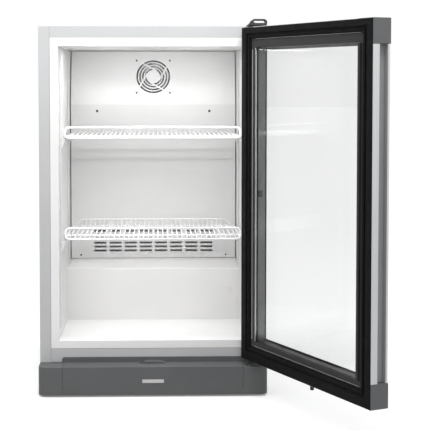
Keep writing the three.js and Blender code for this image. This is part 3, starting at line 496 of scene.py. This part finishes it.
def door_ring(name, outer, inner, section, look, slot, *stands_for):
    """A mitred ring around the window, from the outer insets to the inner ones.

    Insets are (side, bottom, top) in mm. The section is an outline of (share, w): share runs
    from 0 at the outer insets to 1 at the inner ones, w is the depth in mm."""
    width = 2 * HALF_W / MM
    points = []
    for far, top in ((False, False), (True, False), (True, True), (False, True)):
        for share, w in section:
            side, bottom, upper = (a + (b - a) * share for a, b in zip(outer, inner))
            z = DOOR_HIGH - upper * MM if top else DOOR_LOW + bottom * MM
            points.append(on_door(width - side if far else side, w, z))
    count = len(section)
    faces = []
    for i in range(4):
        for j in range(count):
            after = (j + 1) % count
            a, b = i * count, (i + 1) % 4 * count
            faces.append((a + j, a + after, b + after, b + j))
    place(name, mesh_of(name, points, faces, 24), "door", look, slot, *stands_for)


def door_bar(name, outline, span, look, slot, far=False):
    """An upright bar on the door: its outline in (d, w) mm, its span two heights in metres.

    far puts it at the free side, with d counted from that edge."""
    width = 2 * HALF_W / MM
    points = [on_door(width - d if far else d, w, z) for z in span for d, w in outline]
    count = len(outline)
    faces = [tuple(range(count)), tuple(range(count, 2 * count))]
    faces += [(j, (j + 1) % count, count + (j + 1) % count, count + j) for j in range(count)]
    return place(name, mesh_of(name, points, faces), "door", look, slot)


GASKET_SECTION = [
    (0, 5.9), (0, 1.44), (-0.06, 1.42), (-0.068, 1.1), (-0.05, 0.6), (0.01, 0.35), (0.42, 0.35),
    (0.47, 0.7), (0.50, 1.6), (0.51, 4.2), (0.54, 4.9), (0.66, 4.9), (0.69, 4.2), (0.70, 2.4), (0.73, 1.5),
    (0.79, 1.4), (0.82, 2.2), (0.83, 4.2), (0.86, 4.9), (1, 4.9), (1, 5.9)]
FRAME_SECTION = [
    (0, 9.6), (0, 8.1), (0.03, 7.4), (0.07, 7.05), (0.88, 7.05), (0.95, 7.25), (0.985, 7.9),
    (0.985, 9.6)]
BORDER_SECTION = [(0, 37.05), (1, 37.05), (1, 37.2), (0, 37.2)]
GASKET_OUTER, GASKET_INNER = (2.6, 2.6, 2.6), (37.6, 34.1, 25.6)
FRAME_OUTER, WINDOW = (38.4, 34.9, 26.4), (51.9, 45.4, 44.4)
BORDER_OUTER, BORDER_INNER = (40.5, 40.5, 40.5), (52.6, 48.6, 49.2)
door_ring("gasket_bellows", GASKET_OUTER, GASKET_INNER, GASKET_SECTION, rubber,
          "black_rubber", "door_gasket")
door_ring("window_frame", FRAME_OUTER, WINDOW, FRAME_SECTION, frame_plastic,
          "inner_frame_grey", "door_inner_frame")
door_ring("pane_border", BORDER_OUTER, BORDER_INNER, BORDER_SECTION, black_plastic,
          "black_plastic")

GRIP_SECTION = [(0.5, 16.1), (11.9, 16.1), (11.9, 34.6), (0.5, 34.6), (0.5, 33.9), (10.6, 33.9),
                (10.6, 21.4), (9.4, 21.4), (9.4, 19.2), (10.6, 19.2), (10.6, 16.8), (0.5, 16.8)]
TRIM_SECTION = [(50.2, 7.1), (50.5, 6.8), (51.7, 6.8), (52.1, 7.3), (52.1, 9.6), (50.2, 9.6)]
SPACER_SECTION = [(51.8, 14.5), (52.2, 14.7), (52.2, 32.3), (51.8, 32.5)]
LIP_SECTION = [(45.5, 7.0), (45.5, 4.2), (46.5, 2.6), (50.9, 2.0), (51.9, 2.8), (51.9, 6.7)]
PLUG_SECTION = [(51.8, 14.6), (53.8, 14.8), (54.0, 24.6), (51.8, 24.8)]
PLUG_SPAN = (0.435, 0.449)
CAP_END, WINDOW_END = 48.3 * MM, 45.6 * MM
GRIP_SPAN = (DOOR_LOW + CAP_END, DOOR_HIGH - CAP_END)
WINDOW_SPAN = (DOOR_LOW + WINDOW_END, DOOR_HIGH - WINDOW_END)
for word, far in (("hinge", False), ("free", True)):
    door_bar(f"grip_lining_{word}", GRIP_SECTION, GRIP_SPAN, grip_plastic, "grey_plastic", far)
    door_bar(f"window_trim_{word}", TRIM_SECTION, WINDOW_SPAN, bright_trim, "door_aluminium", far)
    # The spacer's uprights take the paler metal, painted light on those faces.
    door_bar(f"spacer_face_{word}", SPACER_SECTION, WINDOW_SPAN, spacer_painted_light, "inner_frame_grey",
             far)
door_bar("window_lip", LIP_SECTION, WINDOW_SPAN, black_plastic, "black_plastic", True)
door_bar("spacer_plug", PLUG_SECTION, PLUG_SPAN, black_plastic, "black_plastic")

# ---- screws ------------------------------------------------------------------------------------
FAN = JOINTS["evaporator_fan_spin"]
INTO_COVER = Vector(FAN["axis"])
UP_COVER = Vector((0, -INTO_COVER.z, INTO_COVER.y))
FAN_FACE = Vector(FAN["pos_m"]) - INTO_COVER * 14.3 * MM   # the cover's face at the fan's axis
FAN_SCREW = 82.5 * MM / 2                                  # a 92 mm fan's screws are 82.5 apart
SMALL_HEAD, LARGE_HEAD = 2.2 * MM, 3.0 * MM
for i, (across, up) in enumerate(((-1, -1), (1, -1), (1, 1), (-1, 1))):
    spot = FAN_FACE + Vector((across * FAN_SCREW, 0, 0)) + UP_COVER * up * FAN_SCREW
    screw(f"fan_screw_{i}", spot, -INTO_COVER, SMALL_HEAD)
COVER_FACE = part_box("evaporator_cover")[0][1]
COVER_SCREWS = ((139, 609, LARGE_HEAD), (180, 251, SMALL_HEAD))   # x and z in mm
for x, z, radius in COVER_SCREWS:
    for word, side in (("left", -1), ("right", 1)):
        screw(f"cover_screw_{word}_{z}", (side * x * MM, COVER_FACE, z * MM), (0, -1, 0), radius)


# ---- floor and light ---------------------------------------------------------------------------
def seen_straight(tree):
    """1 where the floor or the studio is looked at directly or through glass, else 0."""
    path = tree.nodes.new("ShaderNodeLightPath")
    either = tree.nodes.new("ShaderNodeMath")
    either.operation = "MAXIMUM"
    tree.links.new(path.outputs["Is Camera Ray"], either.inputs[0])
    tree.links.new(path.outputs["Is Transmission Ray"], either.inputs[1])
    return either.outputs[0]


def switched(tree, unseen, seen):
    """The seen shader where seen_straight says so, and the unseen one for all other light."""
    mix = tree.nodes.new("ShaderNodeMixShader")
    tree.links.new(seen_straight(tree), mix.inputs["Fac"])
    tree.links.new(unseen, mix.inputs[1])
    tree.links.new(seen, mix.inputs[2])
    return mix.outputs[0]


HALF_FLOOR = 30
floor_mesh = bpy.data.meshes.new("floor")
floor_mesh.from_pydata([(-HALF_FLOOR, -HALF_FLOOR, 0), (HALF_FLOOR, -HALF_FLOOR, 0),
                        (HALF_FLOOR, HALF_FLOOR, 0), (-HALF_FLOOR, HALF_FLOOR, 0)], [], [(0, 1, 2, 3)])
floor = bpy.data.objects.new("floor", floor_mesh)
floor_look = Surface("floor", 0.8).colour(grey(0.92), grey(0.94), 0.5)
floor_mesh.materials.append(floor_look.material)
tree = floor_look.tree
bounce = tree.nodes.new("ShaderNodeBsdfDiffuse")
bounce.inputs["Color"].default_value = grey(0.55)
lift = tree.nodes.new("ShaderNodeEmission")
lift.inputs["Strength"].default_value = 0.22
lifted = tree.nodes.new("ShaderNodeAddShader")
tree.links.new(floor_look.shader.outputs[0], lifted.inputs[0])
tree.links.new(lift.outputs[0], lifted.inputs[1])
tree.links.new(switched(tree, bounce.outputs[0], lifted.outputs[0]),
               tree.nodes["Material Output"].inputs["Surface"])
bpy.context.scene.collection.objects.link(floor)

world = bpy.data.worlds.new("studio")
world.use_nodes = True
bpy.context.scene.world = world
tree = world.node_tree
tree.nodes.clear()
soft = tree.nodes.new("ShaderNodeBackground")
soft.inputs["Color"].default_value = (1, 1, 1, 1)
soft.inputs["Strength"].default_value = 0.9
white = tree.nodes.new("ShaderNodeBackground")
white.inputs["Color"].default_value = (1, 1, 1, 1)
out = tree.nodes.new("ShaderNodeOutputWorld")
tree.links.new(switched(tree, soft.outputs[0], white.outputs[0]), out.inputs["Surface"])


def lamp(name, place, aim, energy, size, spread=180):
    """A rectangular lamp, its spread in degrees, that the camera does not see itself."""
    data = bpy.data.lights.new(name, "AREA")
    data.shape = "RECTANGLE"
    data.energy = energy
    data.size, data.size_y = size
    data.spread = math.radians(spread)
    obj = bpy.data.objects.new(name, data)
    obj.location = place
    obj.rotation_euler = (Vector(aim) - Vector(place)).to_track_quat("-Z", "Y").to_euler()
    obj.visible_camera = False
    bpy.context.scene.collection.objects.link(obj)


lamp("key", (0.1, -1.0, 1.6), (0, -0.1, 0.75), 7.7, (1.4, 0.4), 100)
lamp("cavity_light", (0, -0.12, 0.757), (0, -0.12, 0.35), 0.62, (0.34, 0.03))
lamp("cavity_spot", (0, -0.16, 0.757), (0, -0.10, 0.20), 0.31, (0.36, 0.05), 50)
lamp("cover_wash", (0, -0.16, 0.735), (0, 0.17, 0.715), 0.048, (0.36, 0.03), 60)
lamp("crease_light", (0, 0.12, 0.756), (0, 0.12, 0.35), 0.05, (0.37, 0.02), 60)
